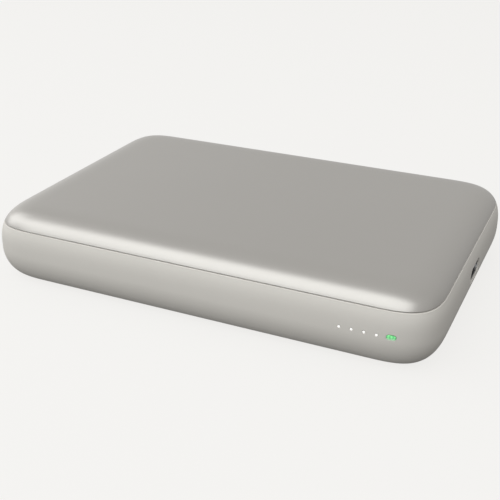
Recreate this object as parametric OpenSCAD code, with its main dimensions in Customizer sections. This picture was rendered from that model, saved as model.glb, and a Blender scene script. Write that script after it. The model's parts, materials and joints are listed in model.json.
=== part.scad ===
// Slim pocket power bank: a clipped two-part shell round a cell frame, two stacked
// pouch cells, a circuit board with a USB-C socket, level lights and a side button.
// Origin: centre of the footprint on the resting face. +X towards the socket,
// -Y towards the level lights, +Z up. Millimetres.

/* [Body] */
// Length of the body
body_length = 108; // [104:1:114]
// Width of the body
body_width = 73; // [71:0.5:76]
// Height of the body
body_height = 17.5; // [17.3:0.1:18.5]
// Height of the joint line between case and cover
seam_height = 13.65; // [13.5:0.05:14.2]
// Height at which the side is widest
waist_height = 7.6; // [7:0.1:8.2]

/* [Edge shape] */
// Length of each rounded corner along a side
corner_size = 15; // [13:0.5:17]
// Squareness of the corners, 2 is a circle
corner_power = 3.6; // [2.5:0.1:4]
// How far the bottom edge rolls in
bottom_inset = 5.2; // [4.8:0.1:5.6]
// Roundness of the bottom edge, 2 is an ellipse
bottom_power = 2; // [1.9:0.1:2.2]
// How far the top edge rolls in
top_inset = 10; // [9:0.5:11]
// Roundness of the top edge
top_power = 2.9; // [2.7:0.1:3.1]

/* [Walls] */
// Wall of the case
case_wall = 1.6; // [1.5:0.1:1.7]
// Wall of the cover
cover_wall = 1.4; // [1.3:0.1:1.5]
// Width of the bevel on each side of the joint line
seam_bevel = 0.2; // [0.1:0.05:0.25]

/* [Lights and socket] */
// Height of the lights, the socket and the button
io_height = 8.3; // [8.2:0.1:8.5]
// Place of the first level light along the body
first_light_x = 34.4; // [34:0.1:35]
// Distance from one level light to the next
light_pitch = 2.6; // [2.5:0.1:2.7]
// Number of level lights
light_count = 4; // [4:1:4]
// Diameter of a level light
light_diameter = 0.6; // [0.5:0.05:0.7]
// Width of the status light
status_width = 2; // [1.8:0.1:2.2]
// Height of the status light
status_height = 1.1; // [1:0.05:1.2]

/* [Button] */
// Place of the button along the rear side
button_x = 38.5; // [38:0.1:39]
// Width of the button
button_width = 9; // [8:0.5:9.5]
// Height of the button
button_height = 3; // [2.8:0.1:3.2]
// Travel of the button
button_travel = 0.3; // [0.2:0.05:0.3]

/* [Cells] */
// Length of a pouch cell without its terrace
cell_length = 71; // [68:1:71]
// Width of a pouch cell
cell_width = 60; // [56:1:60]
// Thickness of a pouch cell
cell_thickness = 6.5; // [6:0.1:6.6]

/* [Hidden] */
$fn = 48;
corner_steps = 12;
edge_steps = 9;
slip = 0.05;                               // gap between pieces that slide or seat
cut = 1;                                   // how far a cutting shape passes a face

// Names in the order of assembly, from the case up

// Colours
grey_plastic = [0.74, 0.73, 0.70];
satin_silver = [0.66, 0.65, 0.63];
dark_plastic = [0.16, 0.16, 0.17];
black_plastic = [0.09, 0.09, 0.10];
steel = [0.72, 0.73, 0.75];
nickel = [0.78, 0.77, 0.72];
foil = [0.70, 0.71, 0.74];
tape_cream = [0.85, 0.83, 0.75];
led_cream = [0.93, 0.92, 0.86];

// Cell stack, from the floor up
floor_z = case_wall;
floor_tape_thickness = 0.3;
cell_tape_thickness = 0.2;
lower_cell_z = floor_z + floor_tape_thickness;
upper_cell_z = lower_cell_z + cell_thickness + cell_tape_thickness;
stack_top_z = upper_cell_z + cell_thickness;
ceiling_z = body_height - cover_wall;
cell_left_x = -44;
cell_right_x = cell_left_x + cell_length;
terrace_length = 3.2;
terrace_thickness = 0.8;
tab_y = 14;                                // centre of each nickel strip and lead

// Skirt of the cover, a thin ring that centres it in the case
skirt_gap = 0.12;
skirt_wall = 1;
skirt_radius = 8.5;
skirt_drop = 1.2;                          // below the joint line
skirt_rise = 1.4;                          // above the joint line, into the cover's wall

// Openings of the case, each wider than what it holds by a gap all round
socket_gap = 0.12;
button_gap = 0.15;

// Cell frame
frame_inset = 2.95;
frame_wall = 1.3;
frame_bottom_z = 4.1;
frame_top_z = seam_height - skirt_drop - 0.1;
bulkhead_x = 31.2;                         // left face of the wall between cells and board
bulkhead_wall = 1.2;
bulkhead_half_width = 32.6;
deck_top_z = 5.2;
wire_notch_z = 9.2;
wire_notch_half_width = 1.4;
board_post_radius = 1.9;
frame_boss_radius = 2.2;

// Screws: two sizes with the same thread and head
screw_radius = 0.7;
screw_head_radius = 1.5;
screw_head_height = 0.9;
screw_hole_radius = 0.95;                  // clears the thread
screw_head_room = 1.9;                     // clears the head
boss_hole_radius = 2.1;                    // clears a frame screw's head through the board
frame_screw_length = 3;
board_screw_length = 2.6;
frame_screw_points = [[-47, -21], [-47, 21], [36.4, -24], [36.4, 24]];

// Circuit board
board_thickness = 1;
usb_height = 3.26;
board_top_z = io_height - usb_height / 2;
board_bottom_z = board_top_z - board_thickness;
board_left_x = 32.8;
board_right_x = 49.2;
board_half_width = 30.4;
board_corner = 4;
board_screw_points = [[45.6, -21], [45.6, 21]];

// USB-C socket
usb_width = 8.94;
usb_metal = 0.3;
usb_length = 7.35;
usb_mouth_x = body_length / 2 - 0.4;
usb_back_x = usb_mouth_x - usb_length;
tongue_width = 6.69;
tongue_thickness = 0.7;
tongue_base_depth = 2.2;
usb_leg_xs = [usb_back_x + 0.8, board_right_x - 0.9];
usb_leg_y = (usb_width - usb_metal) / 2;
contact_count = 12;
contact_pitch = 0.5;

// Lights
level_xs = [for (i = [0 : light_count - 1]) first_light_x + i * light_pitch];
status_gap = 0.35;                         // on top of one pitch, for the wider light
status_x = first_light_x + light_count * light_pitch + status_gap;
front_y = -body_width / 2;
lens_recess = 0.03;
lens_face_y = front_y + lens_recess;
status_y = -side_y(status_x);
status_turn = atan((side_y(status_x - 1) - side_y(status_x + 1)) / 2);
guide_front_y = front_y + case_wall + 0.25;
led_front_y = 0.3 - board_half_width;
led_depth = 0.8;
led_height = 1.9;
guide_back_y = led_front_y - 0.15;
lens_foot_bottom_z = board_top_z + 0.4;
lens_foot_top_z = io_height + 0.6;
baffle_front_y = guide_front_y + 1.1;

// Button and its switch
rear_y = body_width / 2;
button_face_y = rear_y - 0.02;
button_flange_depth = 0.8;
button_flange_gap = 0.3;                   // clears the rolled wall at the flange's ends
button_flange_y = rear_y - case_wall - button_flange_gap - button_flange_depth;
switch_front_y = board_half_width + 0.2;
switch_width = 4.7;
switch_depth = 3;
switch_height = 3.1;
plunger_radius = 0.75;
plunger_tip_y = switch_front_y + 0.75;
plunger_seat = 0.9;                        // length of the plunger inside the switch at rest
plunger_room = plunger_seat + button_travel + 0.2;

// Snap arms of the cover, each [x, y, direction it faces in degrees]
arm_inset = 4.35;
arm_thickness = 0.8;
arm_width = 6;
arm_bottom_z = 8.6;
arm_top_z = 15.9;
hook_reach = 0.7;
hook_height = 1.2;
arm_places = [
    for (x = [-36, -8, 20]) for (side = [-1, 1])
        [x, side * (body_width / 2 - arm_inset), side * 90]
];

// ---- Shell shape ----

// Inset and height of a point on the rolled bottom edge: a = 0 at the waist, 90 below
function bottom_edge(a, wall = 0) = [
    wall + bottom_inset * (1 - pow(cos(a), 2 / bottom_power)),
    waist_height - (waist_height - wall) * pow(sin(a), 2 / bottom_power)
];

// Inset and height of a point on the rolled top edge: a = 0 at the waist, 90 on top
function top_edge(a, wall = 0) = [
    wall + top_inset * (1 - pow(cos(a), 2 / top_power)),
    waist_height + (body_height - wall - waist_height) * pow(sin(a), 2 / top_power)
];

// Angle on the top edge at which it reaches height z
function top_angle(z, wall = 0) =
    asin(pow((z - waist_height) / (body_height - wall - waist_height), top_power / 2));

// Plan outline at a distance in from the widest line, counter-clockwise
function outline(inset) =
    let (
        half_l = body_length / 2 - inset,
        half_w = body_width / 2 - inset,
        r = max(corner_size - inset, 0.6)
    )
    [
        for (q = [0 : 3]) for (i = [0 : corner_steps])
            let (
                t = (q % 2 == 0 ? i : corner_steps - i) * 90 / corner_steps,
                sx = (q == 0 || q == 3) ? 1 : -1,
                sy = q < 2 ? 1 : -1
            )
            [
                sx * (half_l - r + r * pow(cos(t), 2 / corner_power)),
                sy * (half_w - r + r * pow(sin(t), 2 / corner_power))
            ]
    ];

// Half width of the body at its waist, at a place along it
function side_y(x) =
    let (past = max(x - (body_length / 2 - corner_size), 0) / corner_size)
    body_width / 2 - corner_size
        + corner_size * pow(1 - pow(past, corner_power), 1 / corner_power);

// Solid through a list of [inset, height] rings, closed by its first and last ring
module loft(rings) {
    count = 4 * (corner_steps + 1);
    last = len(rings) - 1;
    points = [for (ring = rings) for (p = outline(ring[0])) [p[0], p[1], ring[1]]];
    sides = [
        for (k = [0 : last - 1]) for (i = [0 : count - 1])
            let (j = (i + 1) % count, a = k * count, b = a + count)
            each [[a + i, b + i, b + j], [a + i, b + j, a + j]]
    ];
    first_cap = [for (i = [0 : count - 1]) i];
    last_cap = [for (i = [0 : count - 1]) last * count + count - 1 - i];
    polyhedron(points, concat([first_cap], sides, [last_cap]));
}

// ---- Shared shapes ----

// Flat bar with round ends in the XZ plane, centred, depth along Y
module pill_y(width, height, depth) {
    rotate([90, 0, 0])
        linear_extrude(depth, center = true)
            pill_2d(width, height);
}

// Flat bar with round ends in the YZ plane, centred, depth along X
module pill_x(width, height, depth) {
    rotate([90, 0, 90])
        linear_extrude(depth, center = true)
            pill_2d(width, height);
}

module pill_2d(width, height) {
    square([width - height, height], center = true);
    for (side = [-1, 1])
        translate([side * (width - height) / 2, 0])
            circle(d = height);
}

module rounded_2d(length, width, radius) {
    square([length - 2 * radius, width], center = true);
    square([length, width - 2 * radius], center = true);
    for (sx = [-1, 1]) for (sy = [-1, 1])
        translate([sx * (length / 2 - radius), sy * (width / 2 - radius)])
            circle(r = radius);
}

// Plate with four round corners, centred in X and Y, standing on z = 0
module round_plate(length, width, thickness, radius) {
    linear_extrude(thickness) rounded_2d(length, width, radius);
}

// Box from its low corner to its high corner
module block(low, high) {
    translate(low) cube(high - low);
}

// Pan-head screw with a cross recess, head up, its head resting on z = 0
module pan_screw(length) {
    recess_length = 1.4 * screw_head_radius;
    recess_width = 0.35;
    difference() {
        union() {
            translate([0, 0, -length]) cylinder(r = screw_radius, h = length + slip);
            cylinder(r1 = screw_head_radius, r2 = 0.75 * screw_head_radius,
                     h = screw_head_height);
        }
        for (turn = [0, 90])
            rotate([0, 0, turn])
                translate([-recess_length / 2, -recess_width / 2, screw_head_height / 2])
                    cube([recess_length, recess_width, screw_head_height]);
    }
}

// ---- Tube along a route of points ----

function unit(v) = v / norm(v);
function route_direction(route, i) =
    unit(route[min(i + 1, len(route) - 1)] - route[max(i - 1, 0)]);
function turned(side, along) = unit(side - (side * along) * along);

module tube(route, radius, first_side, sides = 8) {
    last = len(route) - 1;
    points = [
        for (i = 0, side = turned(first_side, route_direction(route, 0)); i <= last;
             i = i + 1,
             side = i <= last ? turned(side, route_direction(route, i)) : side)
            let (up = cross(route_direction(route, i), side))
            for (k = [0 : sides - 1])
                route[i] + radius * (cos(k * 360 / sides) * side + sin(k * 360 / sides) * up)
    ];
    walls = [
        for (i = [0 : last - 1]) for (k = [0 : sides - 1])
            let (n = (k + 1) % sides, a = i * sides, b = a + sides)
            each [[a + k, b + k, b + n], [a + k, b + n, a + n]]
    ];
    start_cap = [for (k = [0 : sides - 1]) k];
    end_cap = [for (k = [0 : sides - 1]) last * sides + sides - 1 - k];
    polyhedron(points, concat([start_cap], walls, [end_cap]));
}

// ---- Casings ----

module lower_case() {
    opening_depth = 3 * case_wall;
    bevel_inset = top_edge(top_angle(seam_height))[0] + seam_bevel;
    rim_inset = case_wall + top_edge(top_angle(seam_height))[0];
    outer = concat(
        [for (i = [edge_steps : -1 : 0]) bottom_edge(90 * i / edge_steps)],
        [for (i = [1 : 4]) top_edge(top_angle(seam_height - seam_bevel) * i / 4)],
        [[bevel_inset, seam_height]]
    );
    inner = concat(
        [[rim_inset, seam_height]],
        [
            for (i = [3 : -1 : 1])
                let (p = top_edge(top_angle(seam_height) * i / 4))
                [case_wall + p[0], p[1]]
        ],
        [for (i = [0 : edge_steps]) bottom_edge(90 * i / edge_steps, case_wall)]
    );
    color(grey_plastic)
        difference() {
            union() {
                loft(concat(outer, inner));
                for (p = frame_screw_points)
                    translate([p[0], p[1], floor_z / 2])
                        cylinder(r = frame_boss_radius, h = frame_bottom_z - floor_z / 2);
            }
            for (p = frame_screw_points)
                translate([p[0], p[1], floor_z])
                    cylinder(r = screw_radius + slip, h = frame_bottom_z);
            translate([body_length / 2, 0, io_height])
                pill_x(usb_width + 2 * socket_gap, usb_height + 2 * socket_gap, opening_depth);
            for (x = level_xs)
                translate([x, front_y, io_height])
                    rotate([90, 0, 0])
                        cylinder(d = light_diameter + 2 * slip, h = opening_depth, center = true);
            at_status_light()
                pill_y(status_width + 2 * slip, status_height + 2 * slip, opening_depth);
            translate([button_x, rear_y, io_height])
                pill_y(button_width + 2 * button_gap, button_height + 2 * button_gap,
                       opening_depth);
        }
}

module top_cover() {
    edge_inset = top_edge(top_angle(seam_height))[0];
    inner_rim_angle = top_angle(seam_height, cover_wall);
    skirt_inset = edge_inset + case_wall + skirt_gap;
    inner = [
        for (i = [edge_steps : -1 : 0])
            top_edge(inner_rim_angle + (90 - inner_rim_angle) * i / edge_steps, cover_wall)
    ];
    bevel_angle = top_angle(seam_height + seam_bevel);
    outer = concat(
        [[edge_inset + seam_bevel, seam_height]],
        [for (i = [0 : edge_steps]) top_edge(bevel_angle + (90 - bevel_angle) * i / edge_steps)]
    );
    color(satin_silver)
        union() {
            loft(concat(inner, outer));
            translate([0, 0, seam_height - skirt_drop])
                linear_extrude(skirt_drop + skirt_rise)
                    difference() {
                        rounded_2d(body_length - 2 * skirt_inset,
                                   body_width - 2 * skirt_inset, skirt_radius);
                        rounded_2d(body_length - 2 * (skirt_inset + skirt_wall),
                                   body_width - 2 * (skirt_inset + skirt_wall),
                                   skirt_radius - skirt_wall);
                    }
            for (place = arm_places)
                translate([place[0], place[1], 0])
                    rotate([0, 0, place[2]])
                        snap_arm();
        }
}

// One snap arm of the cover, standing at its own place with its hook towards +X
module snap_arm() {
    block([-arm_thickness, -arm_width / 2, arm_bottom_z], [0, arm_width / 2, arm_top_z]);
    translate([0, arm_width / 2, arm_bottom_z])
        rotate([90, 0, 0])
            linear_extrude(arm_width)
                polygon([
                    [-0.1, 0], [0, 0], [hook_reach, hook_height * 0.75],
                    [hook_reach, hook_height], [-0.1, hook_height]
                ]);
}

// ---- Cell frame and its screws ----

module inner_frame() {
    opening_z = board_bottom_z - 0.3;
    open_top_z = frame_top_z + cut;
    socket_half_width = usb_width / 2 + 0.75;
    button_half_width = button_width / 2 + 1.7;
    rib_half_width = board_half_width + 10;  // past the outline, which trims it
    hook_gap = 0.3;
    color(dark_plastic)
        difference() {
            union() {
                translate([0, 0, frame_bottom_z])
                    linear_extrude(frame_top_z - frame_bottom_z)
                        difference() {
                            polygon(outline(frame_inset));
                            polygon(outline(frame_inset + frame_wall));
                        }
                // wall between the cells and the board
                block([bulkhead_x, -bulkhead_half_width, frame_bottom_z],
                      [bulkhead_x + bulkhead_wall, bulkhead_half_width, frame_top_z]);
                // deck under the board and ledge under the left screws
                translate([0, 0, frame_bottom_z])
                    linear_extrude(deck_top_z - frame_bottom_z)
                        intersection() {
                            polygon(outline(frame_inset + frame_wall / 2));
                            union() {
                                translate([bulkhead_x, -rib_half_width])
                                    square([body_length, 2 * rib_half_width]);
                                translate([cell_left_x - 0.5 - body_length, -rib_half_width])
                                    square([body_length, 2 * rib_half_width]);
                            }
                        }
                for (p = board_screw_points)
                    translate([p[0], p[1], frame_bottom_z])
                        cylinder(r = board_post_radius, h = board_bottom_z - frame_bottom_z);
            }
            for (p = board_screw_points)
                translate([p[0], p[1], frame_bottom_z - cut])
                    cylinder(r = screw_radius + slip, h = board_top_z);
            for (p = frame_screw_points) {
                translate([p[0], p[1], frame_bottom_z - cut])
                    cylinder(r = screw_hole_radius, h = frame_top_z);
                translate([p[0], p[1], deck_top_z])
                    cylinder(r = screw_head_room, h = frame_top_z);
            }
            // socket, lights and button
            block([board_right_x - 2.2, -socket_half_width, opening_z],
                  [body_length / 2, socket_half_width, open_top_z]);
            block([bulkhead_x + bulkhead_wall, front_y, opening_z],
                  [status_x + status_width / 2 + 1.3, guide_back_y + 0.1, open_top_z]);
            block([button_x - button_half_width, board_half_width - 0.4, opening_z],
                  [button_x + button_half_width, rear_y, open_top_z]);
            // notches for the two leads and the thermistor
            for (y = [-tab_y, 0, tab_y])
                block([bulkhead_x - cut, y - wire_notch_half_width, wire_notch_z],
                      [bulkhead_x + bulkhead_wall + cut, y + wire_notch_half_width, open_top_z]);
            // windows that the cover's hooks catch in
            for (place = arm_places)
                translate([place[0], place[1], arm_bottom_z - hook_gap])
                    rotate([0, 0, place[2]])
                        translate([-arm_thickness - hook_gap, -arm_width / 2 - hook_gap, 0])
                            cube([frame_wall + 3, arm_width + 2 * hook_gap,
                                  hook_height + 2 * hook_gap]);
        }
}

module frame_screws() {
    color(steel)
        for (p = frame_screw_points)
            translate([p[0], p[1], deck_top_z])
                pan_screw(frame_screw_length);
}

// ---- Cells ----

module pouch_cell(z) {
    fold = 0.3;
    fold_height = 0.7 * cell_thickness;
    edge_radius = 1.5;
    terrace_half_width = 25;
    body_half_width = cell_width / 2 - fold;
    centre_x = (cell_left_x + cell_right_x) / 2;
    union() {
        translate([centre_x, 0, z])
            round_plate(cell_length, 2 * body_half_width, cell_thickness, edge_radius);
        block([cell_right_x - edge_radius, -terrace_half_width, z + cell_thickness / 2],
              [cell_right_x + terrace_length, terrace_half_width,
               z + cell_thickness / 2 + terrace_thickness]);
        for (side = [-1, 1])
            translate([0, side * (body_half_width + fold / 2), z + cell_thickness / 2])
                block([cell_left_x + 2, -fold / 2, -fold_height / 2],
                      [cell_right_x - 2, fold / 2, fold_height / 2]);
    }
}

module cell_lower() {
    color(foil) pouch_cell(lower_cell_z);
}

module cell_upper() {
    color(foil) pouch_cell(upper_cell_z);
}

// A patch of tape or foam, centred on the cells
module cell_patch(length, width, z, thickness) {
    translate([(cell_left_x + cell_right_x) / 2, 0, z])
        round_plate(length, width, thickness, 2);
}

module floor_tape() {
    color(tape_cream)
        cell_patch(64, 46, floor_z, floor_tape_thickness);
}

module cell_tape() {
    color(tape_cream)
        cell_patch(66, 50, lower_cell_z + cell_thickness, cell_tape_thickness);
}

module foam_pad() {
    color([0.12, 0.12, 0.13])
        cell_patch(66, 46, stack_top_z, ceiling_z - stack_top_z);
}

// Nickel strip that joins the same tab of both cells
module tab_strip(y) {
    tab_width = 6;
    metal = 0.2;
    overlap = 1.6;                         // length welded to each terrace
    x = cell_right_x + terrace_length - 0.9;
    lower = lower_cell_z + cell_thickness / 2 + terrace_thickness;
    upper = upper_cell_z + cell_thickness / 2;
    translate([0, y - tab_width / 2, 0]) {
        block([x - overlap, 0, lower], [x + metal, tab_width, lower + metal]);
        block([x, 0, lower], [x + metal, tab_width, upper]);
        block([x - overlap, 0, upper - metal], [x + metal, tab_width, upper]);
    }
}

module positive_strip() {
    color(nickel) tab_strip(tab_y);
}

module negative_strip() {
    color(nickel) tab_strip(-tab_y);
}

// Lead from a nickel strip over the bulkhead to a pad on the board
lead_radius = 0.65;
lead_start_x = cell_right_x + terrace_length - 0.7;
function lead_route(y) = [
    [lead_start_x, y, 10.2], [30.3, y, 10.2], [31.4, y, 10.2], [32.5, y, 10.1],
    [33.4, y, 9.9], [34.0, y, 9.3], [34.35, y, 8.5], [34.5, y, 7.6], [34.5, y, board_top_z]
];

module positive_lead() {
    color([0.75, 0.10, 0.08]) tube(lead_route(tab_y), lead_radius, [0, 1, 0]);
}

module negative_lead() {
    color([0.08, 0.08, 0.09]) tube(lead_route(-tab_y), lead_radius, [0, 1, 0]);
}

// Bead between the cells' terraces with its two thin legs to the board
module thermistor() {
    bead_radius = 0.8;
    bead_x = cell_right_x + 1.4;
    bead_z = upper_cell_z + cell_thickness / 2 - bead_radius - slip;
    color([0.10, 0.10, 0.12])
        union() {
            translate([bead_x, 0, bead_z]) sphere(r = bead_radius, $fn = 32);
            for (side = [-1, 1])
                tube([
                    [bead_x + 0.4, 0.3 * side, bead_z], [29.6, 0.5 * side, bead_z],
                    [30.8, 0.7 * side, bead_z], [32, 0.8 * side, bead_z - 0.1],
                    [33, 0.8 * side, bead_z - 0.4], [33.7, 0.8 * side, bead_z - 1],
                    [34.2, 0.8 * side, bead_z - 1.9], [34.4, 0.8 * side, bead_z - 3],
                    [34.4, 0.8 * side, board_top_z]
                ], 0.2, [0, 1, 0]);
        }
}

// Stiff paper on the wall that faces the terraces, below the notches
module terrace_insulator() {
    color([0.90, 0.87, 0.78])
        block([bulkhead_x - 0.2, -22, deck_top_z], [bulkhead_x, 22, wire_notch_z - 0.2]);
}

// ---- Circuit board ----

module main_board() {
    leg_slot = [1.3, 0.7];
    hole_depth = board_thickness + 2 * cut;
    centre_x = (board_left_x + board_right_x) / 2;
    length = board_right_x - board_left_x;
    color([0.05, 0.20, 0.13])
        difference() {
            translate([0, 0, board_bottom_z])
                linear_extrude(board_thickness) {
                    translate([centre_x - board_corner / 2, 0])
                        square([length - board_corner, 2 * board_half_width],
                               center = true);
                    translate([centre_x, 0])
                        square([length, 2 * (board_half_width - board_corner)],
                               center = true);
                    for (side = [-1, 1])
                        translate([board_right_x - board_corner,
                                   side * (board_half_width - board_corner)])
                            circle(r = board_corner);
                }
            for (p = board_screw_points)
                translate([p[0], p[1], board_bottom_z - cut])
                    cylinder(r = screw_hole_radius, h = hole_depth);
            for (p = frame_screw_points)
                if (p[0] > 0)
                    translate([p[0], p[1], board_bottom_z - cut])
                        cylinder(r = boss_hole_radius, h = hole_depth);
            for (x = usb_leg_xs) for (side = [-1, 1])
                translate([x, side * usb_leg_y, board_bottom_z - cut])
                    linear_extrude(hole_depth) square(leg_slot, center = true);
        }
}

module board_screws() {
    color(steel)
        for (p = board_screw_points)
            translate([p[0], p[1], board_top_z])
                pan_screw(board_screw_length);
}

// ---- USB-C socket ----

module usb_shell() {
    inner_width = usb_width - 2 * usb_metal;
    inner_height = usb_height - 2 * usb_metal;
    centre_x = (usb_mouth_x + usb_back_x) / 2;
    leg_width = 1;
    leg_height = 2.6;
    color(steel)
        union() {
            translate([centre_x, 0, io_height])
                difference() {
                    pill_x(usb_width, usb_height, usb_length);
                    pill_x(inner_width, inner_height, usb_length + cut);
                }
            for (side = [-1, 1]) for (x = usb_leg_xs)
                translate([x, side * usb_leg_y, board_bottom_z + 0.1])
                    block([-leg_width / 2, -usb_metal / 2, 0],
                          [leg_width / 2, usb_metal / 2, leg_height]);
        }
}

module usb_tongue() {
    base_width = usb_width - 2 * usb_metal - 2 * slip;
    base_height = usb_height - 2 * usb_metal - 2 * slip;
    tongue_front_x = usb_mouth_x - 0.6;
    nose = 0.4;                            // the tip is this much shorter and narrower
    nose_step = 0.1;
    color(black_plastic)
        union() {
            translate([usb_back_x + tongue_base_depth / 2, 0, io_height])
                pill_x(base_width, base_height, tongue_base_depth);
            translate([usb_back_x, 0, io_height])
                block([tongue_base_depth / 2, -tongue_width / 2, -tongue_thickness / 2],
                      [tongue_front_x - nose - usb_back_x, tongue_width / 2,
                       tongue_thickness / 2]);
            translate([usb_back_x, 0, io_height])
                block([tongue_base_depth / 2, -tongue_width / 2 + nose,
                       -tongue_thickness / 2 + nose_step],
                      [tongue_front_x - usb_back_x, tongue_width / 2 - nose,
                       tongue_thickness / 2 - nose_step]);
        }
}

module usb_contacts() {
    contact_width = 0.28;
    contact_thickness = 0.06;
    back_x = usb_back_x + tongue_base_depth;
    front_x = usb_mouth_x - 1.4;
    color([0.83, 0.66, 0.30])
        for (side = [-1, 1]) for (i = [0 : contact_count - 1])
            translate([back_x, (i - (contact_count - 1) / 2) * contact_pitch,
                       io_height + side * (tongue_thickness + contact_thickness) / 2])
                translate([0, -contact_width / 2, -contact_thickness / 2])
                    cube([front_x - back_x, contact_width, contact_thickness]);
}

// ---- Lights ----

// One side-firing LED, its emitting window towards -Y
module side_led(x, width) {
    border = 0.3;                          // round the window
    window_depth = 0.12;
    translate([x, led_front_y, board_top_z])
        difference() {
            block([-width / 2, 0, 0], [width / 2, led_depth, led_height]);
            block([-width / 2 + border, -cut, border],
                  [width / 2 - border, window_depth, led_height - border]);
        }
}

module level_leds() {
    color(led_cream)
        for (x = level_xs) side_led(x, 1.5);
}

module status_led() {
    color(led_cream) side_led(status_x, 1.9);
}

// Black block with a chimney for each LED, which keeps each light to its own window
module led_baffle() {
    wall = 0.5;
    level_half_width = 0.85;
    status_half_width = 1.15;
    chimney_top_z = board_top_z + led_height + 0.5;
    back_y = led_front_y + led_depth;
    color(black_plastic)
        difference() {
            block([level_xs[0] - level_half_width - wall, baffle_front_y, board_top_z],
                  [status_x + status_half_width + wall, back_y, chimney_top_z + wall]);
            for (x = level_xs)
                block([x - level_half_width, baffle_front_y - cut, board_top_z - cut],
                      [x + level_half_width, back_y + cut, chimney_top_z]);
            block([status_x - status_half_width, baffle_front_y - cut, board_top_z - cut],
                  [status_x + status_half_width, back_y + cut, chimney_top_z]);
        }
}

// Clear moulding: four light pins on one bar, with a foot into each chimney
module light_guide() {
    bar_height = 1.6;
    bar_depth = 0.7;
    bar_end = 1;                           // past the outer pins
    foot_half_width = 0.6;
    pin_length = guide_front_y + 0.1 - lens_face_y;
    color([0.92, 0.94, 0.95, 0.6])
        union() {
            block([level_xs[0] - bar_end, guide_front_y, io_height - bar_height / 2],
                  [level_xs[light_count - 1] + bar_end, guide_front_y + bar_depth,
                   io_height + bar_height / 2]);
            for (x = level_xs) {
                translate([x, lens_face_y + pin_length / 2, io_height])
                    rotate([90, 0, 0])
                        cylinder(d = light_diameter, h = pin_length, center = true);
                block([x - foot_half_width, guide_front_y + bar_depth - 0.1, lens_foot_bottom_z],
                      [x + foot_half_width, guide_back_y, lens_foot_top_z]);
            }
        }
}

// Places its children on the case's surface at the status light, facing squarely out
module at_status_light() {
    translate([status_x, status_y, io_height])
        rotate([0, 0, status_turn])
            children();
}

module status_lens() {
    flange = [2.2, 0.7, 1.6];
    flange_y = case_wall + 0.3;
    foot_half_width = 0.9;
    color([0.25, 0.85, 0.40, 0.8])
        union() {
            at_status_light() {
                translate([0, (lens_recess + flange_y + 0.1) / 2, 0])
                    pill_y(status_width, status_height, flange_y + 0.1 - lens_recess);
                translate([-flange[0] / 2, flange_y, -flange[2] / 2]) cube(flange);
            }
            block([status_x - foot_half_width, status_y + flange_y + 0.4, lens_foot_bottom_z],
                  [status_x + foot_half_width, guide_back_y, lens_foot_top_z]);
        }
}

// ---- Button and switch ----

module power_button() {
    flange_width = button_width + 1.8;
    flange_height = button_height + 1.4;
    post_radius = 1;
    post_base_y = button_flange_y + 0.1;
    color(grey_plastic)
        union() {
            translate([button_x, (button_flange_y + button_face_y) / 2, io_height])
                pill_y(button_width, button_height, button_face_y - button_flange_y);
            translate([button_x, button_flange_y + button_flange_depth / 2, io_height])
                pill_y(flange_width, flange_height, button_flange_depth);
            translate([button_x, (plunger_tip_y + post_base_y) / 2, io_height])
                rotate([90, 0, 0])
                    cylinder(r = post_radius, center = true, h = post_base_y - plunger_tip_y);
        }
}

module switch_body() {
    color(black_plastic)
        difference() {
            block([button_x - switch_width / 2, switch_front_y - switch_depth, board_top_z],
                  [button_x + switch_width / 2, switch_front_y, board_top_z + switch_height]);
            translate([button_x, switch_front_y, io_height])
                rotate([90, 0, 0])
                    cylinder(r = plunger_radius + slip, h = 2 * plunger_room, center = true);
        }
}

module switch_plunger() {
    color([0.85, 0.84, 0.80])
        translate([button_x, (plunger_tip_y + switch_front_y - plunger_seat) / 2, io_height])
            rotate([90, 0, 0])
                cylinder(r = plunger_radius, center = true,
                         h = plunger_tip_y - switch_front_y + plunger_seat);
}

// ---- Components on the board ----

// Flat chip with a row of pads along two sides
module chip(place, size, height, pads) {
    pad = [0.6, 0.25, 0.15];
    pitch = 0.5;
    translate([place[0], place[1], board_top_z]) {
        translate([0, 0, slip])
            block([-size / 2, -size / 2, 0], [size / 2, size / 2, height]);
        for (i = [0 : pads - 1]) for (side = [-1, 1])
            translate([side * (size / 2 - 0.2) - pad[0] / 2,
                       (i - (pads - 1) / 2) * pitch - pad[1] / 2, 0])
                cube(pad);
    }
}

module charge_controller() {
    color(black_plastic) chip([40, 8], 5, 0.85, 8);
}

module protection_chip() {
    color(black_plastic) chip([39.6, -9], 3, 0.8, 4);
}

module power_inductor() {
    size = 6.6;
    height = 3;
    pad = [1.4, 3, 0.15];
    notch_radius = 0.5;
    color([0.23, 0.23, 0.24])
        translate([40, 15.4, board_top_z]) {
            translate([0, 0, pad[2]])
                difference() {
                    round_plate(size, size, height - pad[2], 0.8);
                    for (side = [-1, 1])
                        translate([side * size / 2, 0, -cut])
                            cylinder(r = notch_radius, h = height + cut);
                }
            for (side = [-1, 1])
                translate([side * (size / 2 - 0.9) - pad[0] / 2, -pad[1] / 2, 0])
                    cube(pad);
        }
}

module capacitors() {
    places = [[37.4, -3], [39.4, -3], [41.4, -3], [37.4, 3], [39.4, 3],
              [41.4, 3], [46.4, 9], [46.4, 12], [46.4, -9], [46.4, -12]];
    size = [1.25, 2, 0.9];
    color([0.72, 0.58, 0.42])
        for (p = places)
            translate([p[0] - size[0] / 2, p[1] - size[1] / 2, board_top_z]) cube(size);
}

lower_case();
top_cover();
inner_frame();
frame_screws();
floor_tape();
cell_lower();
cell_upper();
cell_tape();
foam_pad();
positive_strip();
negative_strip();
positive_lead();
negative_lead();
thermistor();
main_board();
board_screws();
terrace_insulator();
usb_shell();
usb_tongue();
usb_contacts();
level_leds();
status_led();
led_baffle();
light_guide();
status_lens();
power_button();
switch_body();
switch_plunger();
charge_controller();
protection_chip();
power_inductor();
capacitors();
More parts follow.
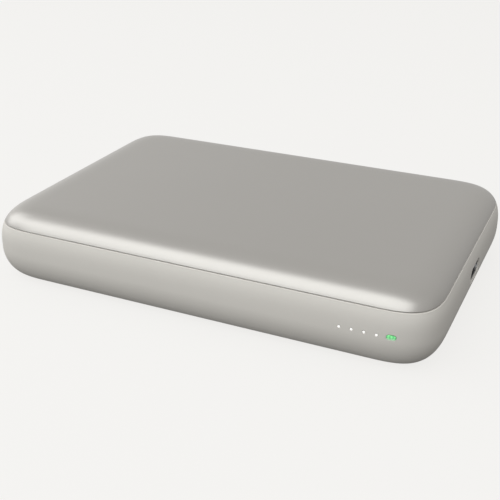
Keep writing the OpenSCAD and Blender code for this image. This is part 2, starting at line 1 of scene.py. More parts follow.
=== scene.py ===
"""A slim pocket power bank on a pale floor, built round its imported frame.

The two casings are remade as smooth shells from the same formulas as the CAD's fine facets,
and the lights get domed tips. The other CAD pieces stay, with softened edges and
procedural materials.
"""

import json
from math import asin, atan, cos, pi, radians, sin

import bmesh
import bpy
from mathutils import Matrix, Vector


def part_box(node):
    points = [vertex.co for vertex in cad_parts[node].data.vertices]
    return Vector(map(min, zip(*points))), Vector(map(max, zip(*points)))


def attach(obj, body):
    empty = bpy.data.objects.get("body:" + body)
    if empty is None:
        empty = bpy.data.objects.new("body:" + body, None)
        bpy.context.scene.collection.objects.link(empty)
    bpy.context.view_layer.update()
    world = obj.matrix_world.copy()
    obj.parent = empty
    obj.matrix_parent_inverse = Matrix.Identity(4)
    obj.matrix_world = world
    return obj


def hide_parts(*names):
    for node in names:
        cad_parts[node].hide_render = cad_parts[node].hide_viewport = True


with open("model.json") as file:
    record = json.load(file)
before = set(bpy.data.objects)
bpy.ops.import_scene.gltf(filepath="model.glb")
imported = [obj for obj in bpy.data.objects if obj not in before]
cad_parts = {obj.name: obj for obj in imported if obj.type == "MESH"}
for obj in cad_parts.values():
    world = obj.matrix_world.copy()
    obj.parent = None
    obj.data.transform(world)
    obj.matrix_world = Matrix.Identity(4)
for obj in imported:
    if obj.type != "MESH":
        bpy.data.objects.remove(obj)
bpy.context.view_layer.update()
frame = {"nodes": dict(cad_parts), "record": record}

MM = 0.001
BODY = "body"

# ---- Driving sizes ----

CASE_LOW, CASE_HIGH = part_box("lower_case")
BODY_LENGTH = CASE_HIGH.x - CASE_LOW.x
BODY_WIDTH = CASE_HIGH.y - CASE_LOW.y
BODY_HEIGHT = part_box("top_cover")[1].z
SEAM_HEIGHT = CASE_HIGH.z
WAIST_HEIGHT = 7.6 * MM
CORNER_SIZE = 15 * MM
CORNER_POWER = 3.6
BOTTOM_INSET = 5.2 * MM
BOTTOM_POWER = 2.0
TOP_INSET = 10 * MM
TOP_POWER = 2.9
CASE_WALL = 1.6 * MM
COVER_WALL = 1.4 * MM
SEAM_ROUND = 0.2 * MM               # round on each rim along the joint line
SEAM_GAP = 0.05 * MM                # between the rims of the two casings
SMALLEST_CORNER = 0.6 * MM          # least corner radius of an inset outline

CORNER_STEPS = 36                   # spans of each rounded corner in plan
LONG_STEPS = 40                     # spans of each long straight side
SHORT_STEPS = 22                    # spans of each short straight side
EDGE_STEPS = 36                     # spans of each rolled edge outside
INNER_STEPS = 10                    # spans of each rolled edge inside
ROUND_STEPS = 6                     # spans of the round along the joint line
RIM_STEPS = 3                       # spans down the inside of the case's rim
CIRCLE_STEPS = 48                   # spans of a screw boss or pilot hole
PILL_STEPS = 20                     # spans of each round end of a pill shape

IO_HEIGHT = (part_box("usb_tongue")[0].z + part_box("usb_tongue")[1].z) / 2
MOUTH_WIDTH = 9.18 * MM
MOUTH_HEIGHT = 3.5 * MM
MOUTH_DEPTH = 4 * MM
MOUTH_FLARE = 0.18 * MM
MOUTH_FLARE_DEPTH = 0.2 * MM

LIGHT_COUNT = 4
LIGHT_DIAMETER = 0.6 * MM
LENS_GAP = 0.05 * MM
LENS_RECESS = 0.03 * MM
LENS_TRIM = 0.01 * MM               # how much smaller a tip's outline is than its lens
WINDOW_DEPTH = 3 * MM
WINDOW_FLARE = 0.06 * MM
GUIDE_LOW, GUIDE_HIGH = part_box("light_guide")
GUIDE_END = 1 * MM                  # light guide's bar beyond its first and last pins
LIGHT_FIRST = GUIDE_LOW.x + GUIDE_END
LIGHT_PITCH = (GUIDE_HIGH.x - GUIDE_LOW.x - 2 * GUIDE_END) / (LIGHT_COUNT - 1)
LIGHT_XS = [LIGHT_FIRST + i * LIGHT_PITCH for i in range(LIGHT_COUNT)]

STATUS_WIDTH = 2.0 * MM
STATUS_HEIGHT = 1.1 * MM
STATUS_FLARE = 0.08 * MM
STATUS_GAP = 0.35 * MM              # from the next light's place to the status light
STATUS_X = LIGHT_XS[-1] + LIGHT_PITCH + STATUS_GAP

BUTTON_LOW, BUTTON_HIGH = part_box("power_button")
BUTTON_FLANGE = (0.9 * MM, 0.7 * MM)      # button's flange past its face, along and up
BUTTON_X = (BUTTON_LOW.x + BUTTON_HIGH.x) / 2
BUTTON_WIDTH = BUTTON_HIGH.x - BUTTON_LOW.x - 2 * BUTTON_FLANGE[0]
BUTTON_HEIGHT = BUTTON_HIGH.z - BUTTON_LOW.z - 2 * BUTTON_FLANGE[1]
BUTTON_GAP = 0.15 * MM
BUTTON_DEPTH = 4 * MM
BUTTON_FLARE = 0.15 * MM
BUTTON_FLARE_DEPTH = 0.18 * MM

MOUTH_START = 1 * MM                # how far outside the wall a hole's tool begins
FLARE_CURVE = [(0, 1), (0.3, 0.45), (0.65, 0.12), (1, 0)]      # shares of its depth and its width

BOSS_RADIUS = 2.2 * MM
BOSS_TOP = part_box("inner_frame")[0].z
PILOT_RADIUS = 0.75 * MM
SCREW_PAIRS = [(-47 * MM, 21 * MM), (36.4 * MM, 24 * MM)]
FRAME_SCREWS = [(x, side * y) for x, y in SCREW_PAIRS for side in (-1, 1)]

SKIRT_WALL = 1 * MM
SKIRT_GAP = 0.12 * MM
SKIRT_DROP = 1.2 * MM
SKIRT_RISE = 1.4 * MM
SKIRT_RADIUS = 8.5 * MM
SKIRT_STEPS = 24                    # spans of each corner of the skirt

ARM_XS = [-36 * MM, -8 * MM, 20 * MM]
ARM_INSET = 4.35 * MM
ARM_THICKNESS = 0.8 * MM
ARM_WIDTH = 6 * MM
ARM_LOW = 8.6 * MM
ARM_HIGH = 15.9 * MM
HOOK_REACH = 0.7 * MM
HOOK_HEIGHT = 1.2 * MM
HOOK_RAMP = 0.75 * HOOK_HEIGHT      # height of the sloping part of a hook


# ---- Shell surface ----

def bottom_edge(a, wall=0.0):
    """Inset and height on the rolled bottom edge: a is 0 at the waist and pi / 2 below."""
    inset = wall + BOTTOM_INSET * (1 - max(cos(a), 0) ** (2 / BOTTOM_POWER))
    return inset, WAIST_HEIGHT - (WAIST_HEIGHT - wall) * sin(a) ** (2 / BOTTOM_POWER)


def top_edge(a, wall=0.0):
    """Inset and height on the rolled top edge: a is 0 at the waist and pi / 2 on top."""
    inset = wall + TOP_INSET * (1 - max(cos(a), 0) ** (2 / TOP_POWER))
    return inset, WAIST_HEIGHT + (BODY_HEIGHT - wall - WAIST_HEIGHT) * sin(a) ** (2 / TOP_POWER)


def top_angle(height, wall=0.0):
    """Angle at which the rolled top edge reaches a height."""
    return asin(((height - WAIST_HEIGHT) / (BODY_HEIGHT - wall - WAIST_HEIGHT)) ** (TOP_POWER / 2))


def spread(low, high, steps):
    """Values from low to high in equal steps, both ends included."""
    return [low + (high - low) * i / steps for i in range(steps + 1)]


def outline(inset):
    """Plan outline at a distance in from the waist, counter-clockwise from +X."""
    half_length = BODY_LENGTH / 2 - inset
    half_width = BODY_WIDTH / 2 - inset
    r = max(CORNER_SIZE - inset, SMALLEST_CORNER)
    corner = [
        (half_length - r + r * max(cos(t), 0) ** (2 / CORNER_POWER),
         half_width - r + r * sin(t) ** (2 / CORNER_POWER))
        for t in spread(0, pi / 2, CORNER_STEPS)
    ]
    long_side = [(x, half_width) for x in spread(half_length - r, r - half_length, LONG_STEPS)[1:-1]]
    short_side = [(-half_length, y) for y in spread(half_width - r, r - half_width, SHORT_STEPS)[1:-1]]
    half = corner + long_side + [(-x, y) for x, y in reversed(corner)] + short_side
    return half + [(-x, -y) for x, y in half]


def side_y(x):
    """Half width of the body at its waist, at a place along it."""
    past = max(x - (BODY_LENGTH / 2 - CORNER_SIZE), 0) / CORNER_SIZE
    return BODY_WIDTH / 2 - CORNER_SIZE + CORNER_SIZE * (1 - past ** CORNER_POWER) ** (1 / CORNER_POWER)


# ---- Mesh helpers ----

def new_object(name, mesh):
    piece = bpy.data.objects.new(name, mesh)
    bpy.context.scene.collection.objects.link(piece)
    return piece


def object_from(name, bm):
    """An object from a bmesh, with its faces turned outward."""
    bmesh.ops.recalc_face_normals(bm, faces=bm.faces)
    mesh = bpy.data.meshes.new(name)
    bm.to_mesh(mesh)
    bm.free()
    return new_object(name, mesh)


def loft(bm, loops):
    """Skins a list of closed loops of points, and closes the first and the last."""
    rows = [[bm.verts.new(p) for p in loop] for loop in loops]
    count = len(rows[0])
    for low, high in zip(rows, rows[1:]):
        for i in range(count):
            j = (i + 1) % count
            bm.faces.new((low[i], low[j], high[j], high[i]))
    bm.faces.new(list(reversed(rows[0])))
    bm.faces.new(rows[-1])


def shell_loops(profile):
    """Loops of the body's outline at each (inset, height) of a profile."""
    return [[(x, y, height) for x, y in outline(inset)] for inset, height in profile]


def disc(centre, radius, steps=CIRCLE_STEPS):
    """Level loop of points round a centre."""
    return [
        Vector(centre) + Vector((radius * cos(a), radius * sin(a), 0))
        for a in spread(0, 2 * pi, steps)[:-1]
    ]


def pill(width, height, grow=0.0, steps=PILL_STEPS):
    """Flat bar with round ends, as (across, up) points, counter-clockwise."""
    r = height / 2 + grow
    straight = (width - height) / 2
    right = [(straight + r * cos(a), r * sin(a)) for a in spread(-pi / 2, pi / 2, steps)]
    return right + [(-u, -v) for u, v in right]


def combine(target, tool, operation):
    """Applies a boolean with a tool object, then removes the tool."""
    cut = target.modifiers.new(operation.lower(), "BOOLEAN")
    cut.operation = operation
    cut.solver = "EXACT"
    cut.object = tool
    evaluated = target.evaluated_get(bpy.context.evaluated_depsgraph_get())
    mesh = bpy.data.meshes.new_from_object(evaluated)
    target.modifiers.clear()
    target.data = mesh
    bpy.data.objects.remove(tool)


def shade_smooth(piece, sharp_angle=radians(26)):
    """Smooth shading with sharp edges where faces meet at more than an angle."""
    piece.data.shade_smooth()
    piece.data.set_sharp_from_angle(angle=sharp_angle)


def finish_piece(piece, material, body):
    """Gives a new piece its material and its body."""
    piece.data.materials.clear()
    piece.data.materials.append(material)
    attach(piece, body)
    return piece


# ---- Materials ----

def new_material(name, colour, roughness, metallic=0.0):
    """A material, its node tree and its Principled shader."""
    material = bpy.data.materials.new(name)
    material.use_nodes = True
    tree = material.node_tree
    shader = tree.nodes["Principled BSDF"]
    shader.inputs["Base Color"].default_value = (*colour, 1)
    shader.inputs["Roughness"].default_value = roughness
    shader.inputs["Metallic"].default_value = metallic
    return material, tree, shader


def noise(tree, scale, detail=2.0, stretch=(1, 1, 1)):
    """A noise texture in the object's own metres, with lumps about 1 / scale across."""
    place = tree.nodes.new("ShaderNodeTexCoord")
    mapping = tree.nodes.new("ShaderNodeMapping")
    mapping.inputs["Scale"].default_value = stretch
    texture = tree.nodes.new("ShaderNodeTexNoise")
    texture.inputs["Scale"].default_value = scale
    texture.inputs["Detail"].default_value = detail
    tree.links.new(place.outputs["Object"], mapping.inputs["Vector"])
    tree.links.new(mapping.outputs["Vector"], texture.inputs["Vector"])
    return texture.outputs["Fac"]


def remap(tree, value, low, high):
    """A 0 to 1 value spread over another range."""
    node = tree.nodes.new("ShaderNodeMapRange")
    node.inputs["To Min"].default_value = low
    node.inputs["To Max"].default_value = high
    tree.links.new(value, node.inputs["Value"])
    return node.outputs["Result"]


def blend_colours(tree, value, first, second):
    """A colour between two, by a value that mostly stays between 0.3 and 0.7, as noise does."""
    ramp = tree.nodes.new("ShaderNodeValToRGB")
    for stop, position, colour in zip(ramp.color_ramp.elements, (0.3, 0.7), (first, second)):
        stop.position = position
        stop.color = (*colour, 1)
    tree.links.new(value, ramp.inputs["Fac"])
    return ramp.outputs["Color"]


def bump(tree, shader, value, depth, strength=1.0):
    """Raises a shader's surface by a value, depth in metres from 0 to 1."""
    node = tree.nodes.new("ShaderNodeBump")
    node.inputs["Strength"].default_value = strength
    node.inputs["Distance"].default_value = depth
    tree.links.new(value, node.inputs["Height"])
    tree.links.new(node.outputs["Normal"], shader.inputs["Normal"])


def tinted(colour, factor):
    """A colour made lighter or darker by a factor, at most 1."""
    return tuple(min(c * factor, 1) for c in colour)


CLOUD_SCALE = 60        # slow changes of colour across a piece, about 17 mm wide


def grained(name, colour, roughness, metallic=0.0, grain=9000, depth=0.004 * MM, tint=0.03,
            rough_spread=0.05, stretch=(1, 1, 1), coat=0.0):
    """A surface with a fine grain: in its colour, its roughness and its relief."""
    material, tree, shader = new_material(name, colour, roughness, metallic)
    fine = noise(tree, grain, stretch=stretch)
    broad = noise(tree, CLOUD_SCALE, detail=3)
    tree.links.new(
        blend_colours(tree, broad, tinted(colour, 1 - tint), tinted(colour, 1 + tint)),
        shader.inputs["Base Color"])
    tree.links.new(
        remap(tree, fine, roughness - rough_spread, roughness + rough_spread),
        shader.inputs["Roughness"])
    bump(tree, shader, fine, depth)
    shader.inputs["Coat Weight"].default_value = coat
    return material


CASE_COLOUR = (0.645, 0.62, 0.576)
COVER_COLOUR = (0.464, 0.448, 0.423)
LEVEL_COLOUR = (1.0, 0.99, 0.96)
LEVEL_GLOW = 0.36
STATUS_GLOW = 0.75


def case_material():
    """Warm light grey plastic with a fine spark-eroded texture."""
    return grained("case_plastic", CASE_COLOUR, 0.62, grain=7000, depth=0.006 * MM, tint=0.012)


def cover_material():
    """Satin silver-grey metallic paint: fine flakes under a soft clear coat."""
    material, tree, shader = new_material("cover_finish", COVER_COLOUR, 0.36, metallic=0.85)
    flakes = noise(tree, 16000, detail=1)
    cloud = noise(tree, 45, detail=3)
    tree.links.new(
        blend_colours(tree, flakes, tinted(COVER_COLOUR, 0.95), tinted(COVER_COLOUR, 1.05)),
        shader.inputs["Base Color"])
    tree.links.new(remap(tree, cloud, 0.335, 0.385), shader.inputs["Roughness"])
    bump(tree, shader, flakes, 0.0012 * MM)
    return material


def level_material():
    """White frosted tip that glows, a little uneven where the frost is thicker."""
    material, tree, shader = new_material("level_glow", LEVEL_COLOUR, 0.35)
    frost = noise(tree, 5000)
    shader.inputs["Emission Color"].default_value = (*LEVEL_COLOUR, 1)
    tree.links.new(remap(tree, frost, 0.9 * LEVEL_GLOW, 1.1 * LEVEL_GLOW),
                   shader.inputs["Emission Strength"])
    return material


def status_material():
    """Green frosted lens that glows: blotchy over its lamp, and paler along its lower edge, where a
    painted highlight is mixed into its colour and its glow.
    """
    # pale is the colour of a painted highlight along the lens's lower edge
    deep, bright, pale = (0.05, 0.27, 0.10), (0.22, 0.70, 0.27), (0.30, 0.51, 0.32)
    material, tree, shader = new_material("status_glow", bright, 0.35)
    blotches = noise(tree, 2600)
    place = tree.nodes.new("ShaderNodeTexCoord")
    axes = tree.nodes.new("ShaderNodeSeparateXYZ")
    tree.links.new(place.outputs["Object"], axes.inputs["Vector"])
    # painted highlight: the colour turns pale towards the lens's lower edge, in its base colour and its
    # glow
    lower_edge_highlight = tree.nodes.new("ShaderNodeMapRange")
    lower_edge_highlight.inputs["From Min"].default_value = IO_HEIGHT
    lower_edge_highlight.inputs["From Max"].default_value = IO_HEIGHT - STATUS_HEIGHT / 2
    tree.links.new(axes.outputs["Z"], lower_edge_highlight.inputs["Value"])
    mix = tree.nodes.new("ShaderNodeMix")
    mix.data_type = "RGBA"
    factor, first, second = (mix.inputs[i] for i in (0, 6, 7))       # its colour sockets
    colour = mix.outputs[2]
    second.default_value = (*pale, 1)
    tree.links.new(lower_edge_highlight.outputs["Result"], factor)
    tree.links.new(blend_colours(tree, blotches, deep, bright), first)
    tree.links.new(colour, shader.inputs["Base Color"])
    tree.links.new(colour, shader.inputs["Emission Color"])
    shader.inputs["Emission Strength"].default_value = STATUS_GLOW
    return material


def clear_material(name, colour):
    """Clear moulding with faint flow marks."""
    material, tree, shader = new_material(name, colour, 0.12)
    shader.inputs["Transmission Weight"].default_value = 0.9
    flow = noise(tree, 900, stretch=(1, 6, 1))
    tree.links.new(remap(tree, flow, 0.08, 0.18), shader.inputs["Roughness"])
    bump(tree, shader, flow, 0.003 * MM)
    return material


def foil_material():
    """Aluminium laminate of a pouch cell, softly dimpled."""
    material, tree, shader = new_material("pouch_foil", (0.62, 0.63, 0.66), 0.3, metallic=0.9)
    dimples = noise(tree, 260, detail=4)
    tree.links.new(remap(tree, dimples, 0.22, 0.42), shader.inputs["Roughness"])
    tree.links.new(
        blend_colours(tree, dimples, (0.56, 0.57, 0.60), (0.68, 0.69, 0.72)),
        shader.inputs["Base Color"])
    bump(tree, shader, dimples, 0.08 * MM)
    return material


def board_material():
    """Green solder mask with tracks that show as a slightly raised, lighter pattern."""
    dark, light = (0.010, 0.075, 0.040), (0.020, 0.150, 0.075)
    material, tree, shader = new_material("board", dark, 0.35)
    place = tree.nodes.new("ShaderNodeTexCoord")
    tracks = tree.nodes.new("ShaderNodeTexBrick")
    tracks.inputs["Scale"].default_value = 500
    tracks.inputs["Mortar Size"].default_value = 0.06
    tree.links.new(place.outputs["Object"], tracks.inputs["Vector"])
    tree.links.new(blend_colours(tree, tracks.outputs["Fac"], dark, light), shader.inputs["Base Color"])
    tree.links.new(remap(tree, noise(tree, 3000), 0.28, 0.42), shader.inputs["Roughness"])
    bump(tree, shader, tracks.outputs["Fac"], 0.02 * MM)
    return material


def cad_materials():
    """Material of every slot that a carried-over CAD node uses."""
    return {
        "button_plastic": grained("button_plastic", CASE_COLOUR, 0.58, grain=7000, depth=0.005 * MM),
        "black_plastic": grained("black_plastic", (0.012, 0.012, 0.013), 0.5),
        "frame_plastic": grained("frame_plastic", (0.022, 0.022, 0.024), 0.55, grain=5000),
        "clear_plastic": clear_material("clear_plastic", (0.93, 0.95, 0.96)),
        "green_plastic": clear_material("green_plastic", (0.25, 0.80, 0.38)),
        "cream_plastic": grained("cream_plastic", (0.74, 0.71, 0.62), 0.4),
        "pouch_foil": foil_material(),
        "tape": grained("tape", (0.70, 0.66, 0.52), 0.75, grain=2500, depth=0.02 * MM),
        "paper": grained("paper", (0.72, 0.66, 0.50), 0.85, grain=3000, depth=0.02 * MM),
        "foam": grained("foam", (0.014, 0.014, 0.016), 0.95, grain=2200, depth=0.12 * MM),
        "nickel": grained("nickel", (0.60, 0.57, 0.52), 0.28, metallic=1, stretch=(1, 1, 8)),
        "screw_steel": grained("screw_steel", (0.52, 0.53, 0.55), 0.3, metallic=1),
        "shell_steel": grained("shell_steel", (0.24, 0.24, 0.245), 0.42, metallic=1, stretch=(0.2, 1, 1)),
        "gold": grained("gold", (0.83, 0.58, 0.22), 0.2, metallic=1),
        "red_wire": grained("red_wire", (0.42, 0.012, 0.010), 0.45),
        "black_wire": grained("black_wire", (0.012, 0.012, 0.013), 0.45),
        "bead": grained("bead", (0.016, 0.016, 0.020), 0.18),
        "board": board_material(),
        "chip_epoxy": grained("chip_epoxy", (0.016, 0.016, 0.017), 0.55, depth=0.01 * MM),
        "ferrite": grained("ferrite", (0.055, 0.055, 0.058), 0.6, grain=4000, depth=0.015 * MM),
        "ceramic": grained("ceramic", (0.42, 0.29, 0.17), 0.35),
        "led_package": grained("led_package", (0.80, 0.79, 0.72), 0.3),
    }


# ---- Casings ----

def case_profile():
    """Profile of the case: up the outside, over the rim and down the inside."""
    top = SEAM_HEIGHT - SEAM_GAP / 2
    rim_angle = top_angle(top)
    rim_inset = top_edge(rim_angle)[0]
    outside = [bottom_edge(a) for a in spread(pi / 2, 0, EDGE_STEPS)]
    outside += [top_edge(a) for a in spread(0, top_angle(top - SEAM_ROUND), EDGE_STEPS // 3)[1:]]
    start = outside[-1][0]
    rim = [
        (start + (rim_inset + SEAM_ROUND - start) * (1 - cos(a)), top - SEAM_ROUND * (1 - sin(a)))
        for a in spread(0, pi / 2, ROUND_STEPS)[1:]
    ]
    inside = [
        (CASE_WALL + inset, height)
        for inset, height in (top_edge(a) for a in spread(rim_angle, 0, RIM_STEPS))
    ]
    inside += [bottom_edge(a, CASE_WALL) for a in spread(0, pi / 2, INNER_STEPS)[1:]]
    return outside + rim + inside


def cover_profile():
    """Profile of the cover: from the middle of its ceiling out, round the rim and over the top."""
    base = SEAM_HEIGHT + SEAM_GAP / 2
    rim_inset = top_edge(top_angle(base))[0]
    inside = [top_edge(a, COVER_WALL) for a in spread(pi / 2, top_angle(base, COVER_WALL), INNER_STEPS)]
    outer_angle = top_angle(base + SEAM_ROUND)
    end = top_edge(outer_angle)[0]
    rim = [
        (end + (rim_inset + SEAM_ROUND - end) * (1 - sin(a)), base + SEAM_ROUND * (1 - cos(a)))
        for a in spread(0, pi / 2, ROUND_STEPS)[:-1]
    ]
    outside = [top_edge(a) for a in spread(outer_angle, pi / 2, EDGE_STEPS)]
    return inside + rim + outside


def mouth_cutter(name, points, place, depth, flare, flare_depth):
    """Tool that cuts a hole along its own +Y, with a softly flared mouth at its origin.

    points(grow) gives the hole's outline as (across, up), grown by a distance.
    place turns and moves the tool from its own frame, where +Y goes into the wall.
    """
    curve = [(down * flare_depth, out * flare) for down, out in FLARE_CURVE]
    stations = [(-MOUTH_START, flare)] + curve + [(depth, 0)]
    bm = bmesh.new()
    loft(bm, [[place @ Vector((u, y, v)) for u, v in points(grow)] for y, grow in stations])
    return object_from(name, bm)


def join(pieces):
    """One object out of several, for use as one boolean tool."""
    bm = bmesh.new()
    for piece in pieces:
        bm.from_mesh(piece.data)
        bpy.data.objects.remove(piece)
    return object_from("tool", bm)


def status_place():
    """Place and turn of the status light, flat against the casing's bend."""
    turn = atan((side_y(STATUS_X - MM) - side_y(STATUS_X + MM)) / (2 * MM))
    place = Matrix.Translation((STATUS_X, -side_y(STATUS_X), IO_HEIGHT))
    return place @ Matrix.Rotation(turn, 4, "Z")


def case_openings():
    """Tools for the socket mouth, the light windows and the button's hole."""
    front = [Matrix.Translation((x, -side_y(x), IO_HEIGHT)) for x in LIGHT_XS]
    socket = Matrix.Translation((BODY_LENGTH / 2, 0, IO_HEIGHT)) @ Matrix.Rotation(pi / 2, 4, "Z")
    button = Matrix.Translation((BUTTON_X, BODY_WIDTH / 2, IO_HEIGHT)) @ Matrix.Rotation(pi, 4, "Z")
    window = LIGHT_DIAMETER + 2 * LENS_GAP
    tools = [
        mouth_cutter("window", lambda grow: pill(window, window, grow), place,
                     WINDOW_DEPTH, WINDOW_FLARE, WINDOW_FLARE)
        for place in front
    ]
    tools.append(mouth_cutter(
        "status", lambda grow: pill(STATUS_WIDTH + 2 * LENS_GAP, STATUS_HEIGHT + 2 * LENS_GAP, grow),
        status_place(), WINDOW_DEPTH, STATUS_FLARE, STATUS_FLARE))
    tools.append(mouth_cutter(
        "socket", lambda grow: pill(MOUTH_WIDTH, MOUTH_HEIGHT, grow),
        socket, MOUTH_DEPTH, MOUTH_FLARE, MOUTH_FLARE_DEPTH))
    tools.append(mouth_cutter(
        "button", lambda grow: pill(BUTTON_WIDTH + 2 * BUTTON_GAP, BUTTON_HEIGHT + 2 * BUTTON_GAP, grow),
        button, BUTTON_DEPTH, BUTTON_FLARE, BUTTON_FLARE_DEPTH))
    return tools


def cylinder_tool(name, centre, radius, low, high):
    """Upright cylinder for a screw boss or its pilot hole."""
    bm = bmesh.new()
    loft(bm, [disc((centre[0], centre[1], z), radius) for z in (low, high)])
    return object_from(name, bm)


def make_case():
    """The lower case: its shell, the screw bosses inside it and the openings through it."""
    bm = bmesh.new()
    loft(bm, shell_loops(case_profile()))
    case = object_from("case_shell", bm)
    bosses = [cylinder_tool("boss", p, BOSS_RADIUS, CASE_WALL / 2, BOSS_TOP) for p in FRAME_SCREWS]
    combine(case, join(bosses), "UNION")
    pilots = [cylinder_tool("pilot", p, PILOT_RADIUS, CASE_WALL, BOSS_TOP + MM) for p in FRAME_SCREWS]
    combine(case, join(case_openings() + pilots), "DIFFERENCE")
    shade_smooth(case)
    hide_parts("lower_case")
    return finish_piece(case, case_material(), BODY)


def skirt_loops():
    """Loops of the thin ring inside the cover that centres it in the case."""
    outer = top_edge(top_angle(SEAM_HEIGHT))[0] + CASE_WALL + SKIRT_GAP
    low, high = SEAM_HEIGHT - SKIRT_DROP, SEAM_HEIGHT + SKIRT_RISE

    def ring(inset, r, z):
        half_x, half_y = BODY_LENGTH / 2 - inset - r, BODY_WIDTH / 2 - inset - r
        quarter = spread(0, pi / 2, SKIRT_STEPS)
        points = [(half_x + r * cos(a), half_y + r * sin(a)) for a in quarter]
        points += [(-half_x - r * sin(a), half_y + r * cos(a)) for a in quarter]
        return [(x, y, z) for x, y in points + [(-x, -y) for x, y in points]]

    inner, inner_radius = outer + SKIRT_WALL, SKIRT_RADIUS - SKIRT_WALL
    return [ring(outer, SKIRT_RADIUS, low), ring(outer, SKIRT_RADIUS, high),
            ring(inner, inner_radius, high), ring(inner, inner_radius, low)]


def make_skirt():
    """The ring as a closed band: its loops skinned round, and the last back to the first."""
    bm = bmesh.new()
    rows = [[bm.verts.new(p) for p in loop] for loop in skirt_loops()]
    count = len(rows[0])
    for k in range(len(rows)):
        low, high = rows[k], rows[(k + 1) % len(rows)]
        for i in range(count):
            j = (i + 1) % count
            bm.faces.new((low[i], low[j], high[j], high[i]))
    return object_from("skirt", bm)


def make_arm(x, side):
    """One snap arm of the cover, as its side profile drawn across its width."""
    profile = [
        (-ARM_THICKNESS, ARM_LOW), (0, ARM_LOW), (HOOK_REACH, ARM_LOW + HOOK_RAMP),
        (HOOK_REACH, ARM_LOW + HOOK_HEIGHT), (0, ARM_LOW + HOOK_HEIGHT), (0, ARM_HIGH),
        (-ARM_THICKNESS, ARM_HIGH)
    ]
    face = BODY_WIDTH / 2 - ARM_INSET
    bm = bmesh.new()
    loft(bm, [
        [(x + across, side * (face + out), z) for out, z in profile]
        for across in (-ARM_WIDTH / 2, ARM_WIDTH / 2)
    ])
    return object_from("arm", bm)


def make_cover():
    """The top cover: its shell, with the centring ring and the snap arms inside it."""
    bm = bmesh.new()
    loft(bm, shell_loops(cover_profile()))
    cover = object_from("cover_shell", bm)
    arms = [make_arm(x, side) for x in ARM_XS for side in (-1, 1)]
    combine(cover, join([make_skirt()] + arms), "UNION")
    shade_smooth(cover)
    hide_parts("top_cover")
    return finish_piece(cover, cover_material(), BODY)


# ---- Lights ----

def dome_into(bm, points, place, height):
    """Adds a shallow lens: flat behind, domed in front, over an outline of (across, up)."""
    levels = [(1.0, 0.0), (0.97, 0.35), (0.85, 0.65), (0.6, 0.88), (0.3, 0.97)]    # shares of both
    loft(bm, [
        [place @ Vector((u * scale, -height * rise, v * scale)) for u, v in points]
        for scale, rise in levels
    ])


def make_level_tips():
    """Domed tips of the four level lights, on the ends of the light guide's pins."""
    bm = bmesh.new()
    for x in LIGHT_XS:
        place = Matrix.Translation((x, GUIDE_LOW.y, IO_HEIGHT))
        dome_into(bm, pill(LIGHT_DIAMETER, LIGHT_DIAMETER, -LENS_TRIM), place, LENS_RECESS)
    tips = object_from("level_light_tips", bm)
    shade_smooth(tips)
    return finish_piece(tips, level_material(), BODY)


def make_status_tip():
    """Domed tip of the green light, on the front of its lens."""
    place = status_place() @ Matrix.Translation((0, LENS_RECESS, 0))
    bm = bmesh.new()
    dome_into(bm, pill(STATUS_WIDTH, STATUS_HEIGHT, -LENS_TRIM), place, LENS_RECESS)
    tip = object_from("status_light_tip", bm)
    shade_smooth(tip)
    return finish_piece(tip, status_material(), BODY)


# ---- Carried-over CAD nodes ----

BEVELS = {      # width in mm of the softened edges of each carried-over node
    "power_button": 0.25, "switch_body": 0.1, "switch_plunger": 0.1, "inner_frame": 0.12,
    "cell_lower": 0.3, "cell_upper": 0.3, "usb_shell": 0.05, "usb_tongue": 0.08,
    "frame_screws": 0.06, "board_screws": 0.06, "power_inductor": 0.15, "led_baffle": 0.08,
    "charge_controller": 0.05, "protection_chip": 0.05, "capacitors": 0.08, "main_board": 0.05,
    "level_leds": 0.05, "status_led": 0.05, "positive_strip": 0.03, "negative_strip": 0.03,
    "foam_pad": 0.2,
}


WELD_DISTANCE = 0.0005 * MM
SOFTEN_SEGMENTS = 3
SOFTEN_ANGLE = radians(40)


def soften(node, width):
    """Rounds a CAD node's sharp edges with modifiers, which leave its own mesh alone."""
    piece = frame["nodes"][node]
    weld = piece.modifiers.new("weld", "WELD")
    weld.merge_threshold = WELD_DISTANCE
    bevel = piece.modifiers.new("soften", "BEVEL")
    bevel.width = width * MM
    bevel.segments = SOFTEN_SEGMENTS
    bevel.limit_method = "ANGLE"
    bevel.angle_limit = SOFTEN_ANGLE
    bevel.harden_normals = True


def dress_cad_nodes():
    """Puts each carried-over node's material in its slot, and softens its edges."""
    materials = cad_materials()
    replaced = {"lower_case", "top_cover"}
    for part in frame["record"]["subparts"]:
        node = part["node"]
        if node in replaced:
            continue
        piece = frame["nodes"][node]
        piece.data.materials.clear()
        piece.data.materials.append(materials[part["material_slot"]])
        if node in BEVELS:
            soften(node, BEVELS[node])


# ---- Floor, light and camera ----

def make_floor():
    """Plain pale floor, mostly lit from inside like a light table, so that shadows stay weak.

    Diffuse rays and reflections pass it by: the casing's lower edge then darkens as it curls in.
    """
    half = 2.5                                   # half its side, in metres
    colour = (0.09, 0.0895, 0.088)
    glow_colour, glow = (1.0, 0.99, 0.97, 1), 0.806
    mesh = bpy.data.meshes.new("floor")
    mesh.from_pydata([(-half, -half, 0), (half, -half, 0), (half, half, 0), (-half, half, 0)], [],
                     [(0, 1, 2, 3)])
    floor = new_object("floor", mesh)
    material, _, shader = new_material("floor", colour, 0.9)
    shader.inputs["Specular IOR Level"].default_value = 0
    shader.inputs["Emission Color"].default_value = glow_colour
    shader.inputs["Emission Strength"].default_value = glow
    floor.data.materials.append(material)
    floor.visible_diffuse = False
    floor.visible_glossy = False
    floor.visible_shadow = False


def make_light(name, place, size, power, colour):
    """A soft box aimed at the middle of the body's footprint."""
    data = bpy.data.lights.new(name, "AREA")
    data.shape = "RECTANGLE"
    data.size, data.size_y = size
    data.energy = power
    data.color = colour
    light = bpy.data.objects.new(name, data)
    bpy.context.scene.collection.objects.link(light)
    light.location = place
    light.rotation_euler = (-light.location).to_track_quat("-Z", "Y").to_euler()


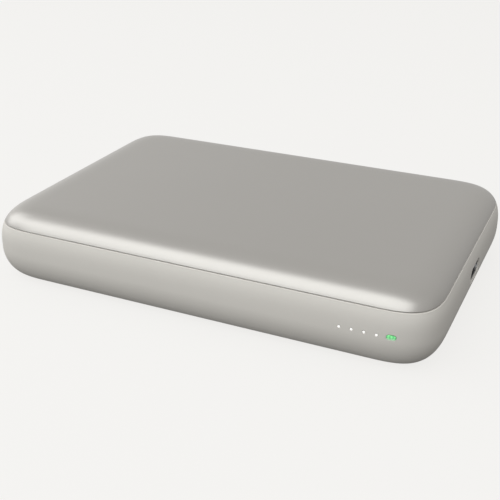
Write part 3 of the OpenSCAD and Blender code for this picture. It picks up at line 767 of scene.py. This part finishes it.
def make_world():
    """Even studio light: stronger overhead, behind and to the left, and weaker from below.

    Three wide patches add to it or take from it, like softboxes and a black card out of view.
    """
    level = 0.58
    slope = (-0.04, 0.10, 0.10)
    patches = [                       # direction of the middle, how tight it is, strength
        ((0.807, 0.142, -0.574), 3, -0.45),       # dark card, low on the right
        ((0.853, -0.150, 0.5), 6, 0.15),          # brighter, high on the right
        ((-0.829, 0.559, -0.035), 14, 0.45),      # brighter, low behind the left
    ]
    fade_low, fade_high, lowest_share = -0.55, -0.05, 0.40        # the light's fade below level
    world = bpy.data.worlds.new("world")
    world.use_nodes = True
    tree = world.node_tree
    place = tree.nodes.new("ShaderNodeTexCoord")

    def along(direction):
        """How far the ray's direction leans along another direction, from -1 to 1."""
        node = tree.nodes.new("ShaderNodeVectorMath")
        node.operation = "DOT_PRODUCT"
        node.inputs[1].default_value = direction
        tree.links.new(place.outputs["Generated"], node.inputs[0])
        return node.outputs["Value"]

    def calculate(operation, first, second, clamp=False):
        """One maths node; each of its two inputs is a socket or a plain number."""
        node = tree.nodes.new("ShaderNodeMath")
        node.operation = operation
        node.use_clamp = clamp
        for socket, value in zip(node.inputs, (first, second)):
            if isinstance(value, bpy.types.NodeSocket):
                tree.links.new(value, socket)
            else:
                socket.default_value = value
        return node.outputs["Value"]

    light = calculate("ADD", along(slope), level)
    for direction, tightness, strength in patches:
        facing = calculate("ADD", along(direction), 0, clamp=True)
        patch = calculate("MULTIPLY", calculate("POWER", facing, tightness), strength)
        light = calculate("ADD", light, patch)
    fade = tree.nodes.new("ShaderNodeMapRange")
    fade.inputs["From Min"].default_value = fade_low
    fade.inputs["From Max"].default_value = fade_high
    fade.inputs["To Min"].default_value = lowest_share
    tree.links.new(along((0, 0, 1)), fade.inputs["Value"])
    background = tree.nodes["Background"]
    background.inputs["Color"].default_value = (1.0, 0.995, 0.985, 1)
    tree.links.new(calculate("MULTIPLY", light, fade.outputs["Result"]), background.inputs["Strength"])
    bpy.context.scene.world = world


def make_camera():
    """Camera at the viewing angle: above the front right, looking at the middle of the body."""
    azimuth, elevation, roll = radians(24.58), radians(25.57), radians(0.26)
    distance = 215.4 * MM
    target = Vector((0.2 * MM, -4.5 * MM, 4.4 * MM))
    data = bpy.data.cameras.new("camera")
    data.lens = 62.96
    data.sensor_width = 36
    data.clip_start = 10 * MM
    camera = bpy.data.objects.new("camera", data)
    bpy.context.scene.collection.objects.link(camera)
    turn = Matrix.Rotation(azimuth, 3, "Z") @ Matrix.Rotation(pi / 2 - elevation, 3, "X")
    turn = turn @ Matrix.Rotation(roll, 3, "Z")
    camera.rotation_euler = turn.to_euler()
    camera.location = target + turn @ Vector((0, 0, distance))
    bpy.context.scene.camera = camera


make_case()
make_cover()
make_level_tips()
make_status_tip()
dress_cad_nodes()

make_floor()
make_world()
make_light("key", place=(-0.097, -0.458, 0.520), size=(1.0, 0.68), power=3.42,
           colour=(0.965, 0.990, 1.0))
make_light("left", place=(-0.603, -0.063, 0.350), size=(0.46, 0.40), power=0.88,
           colour=(0.965, 0.985, 1.0))
make_camera()
bpy.context.scene.view_settings.view_transform = "Standard"
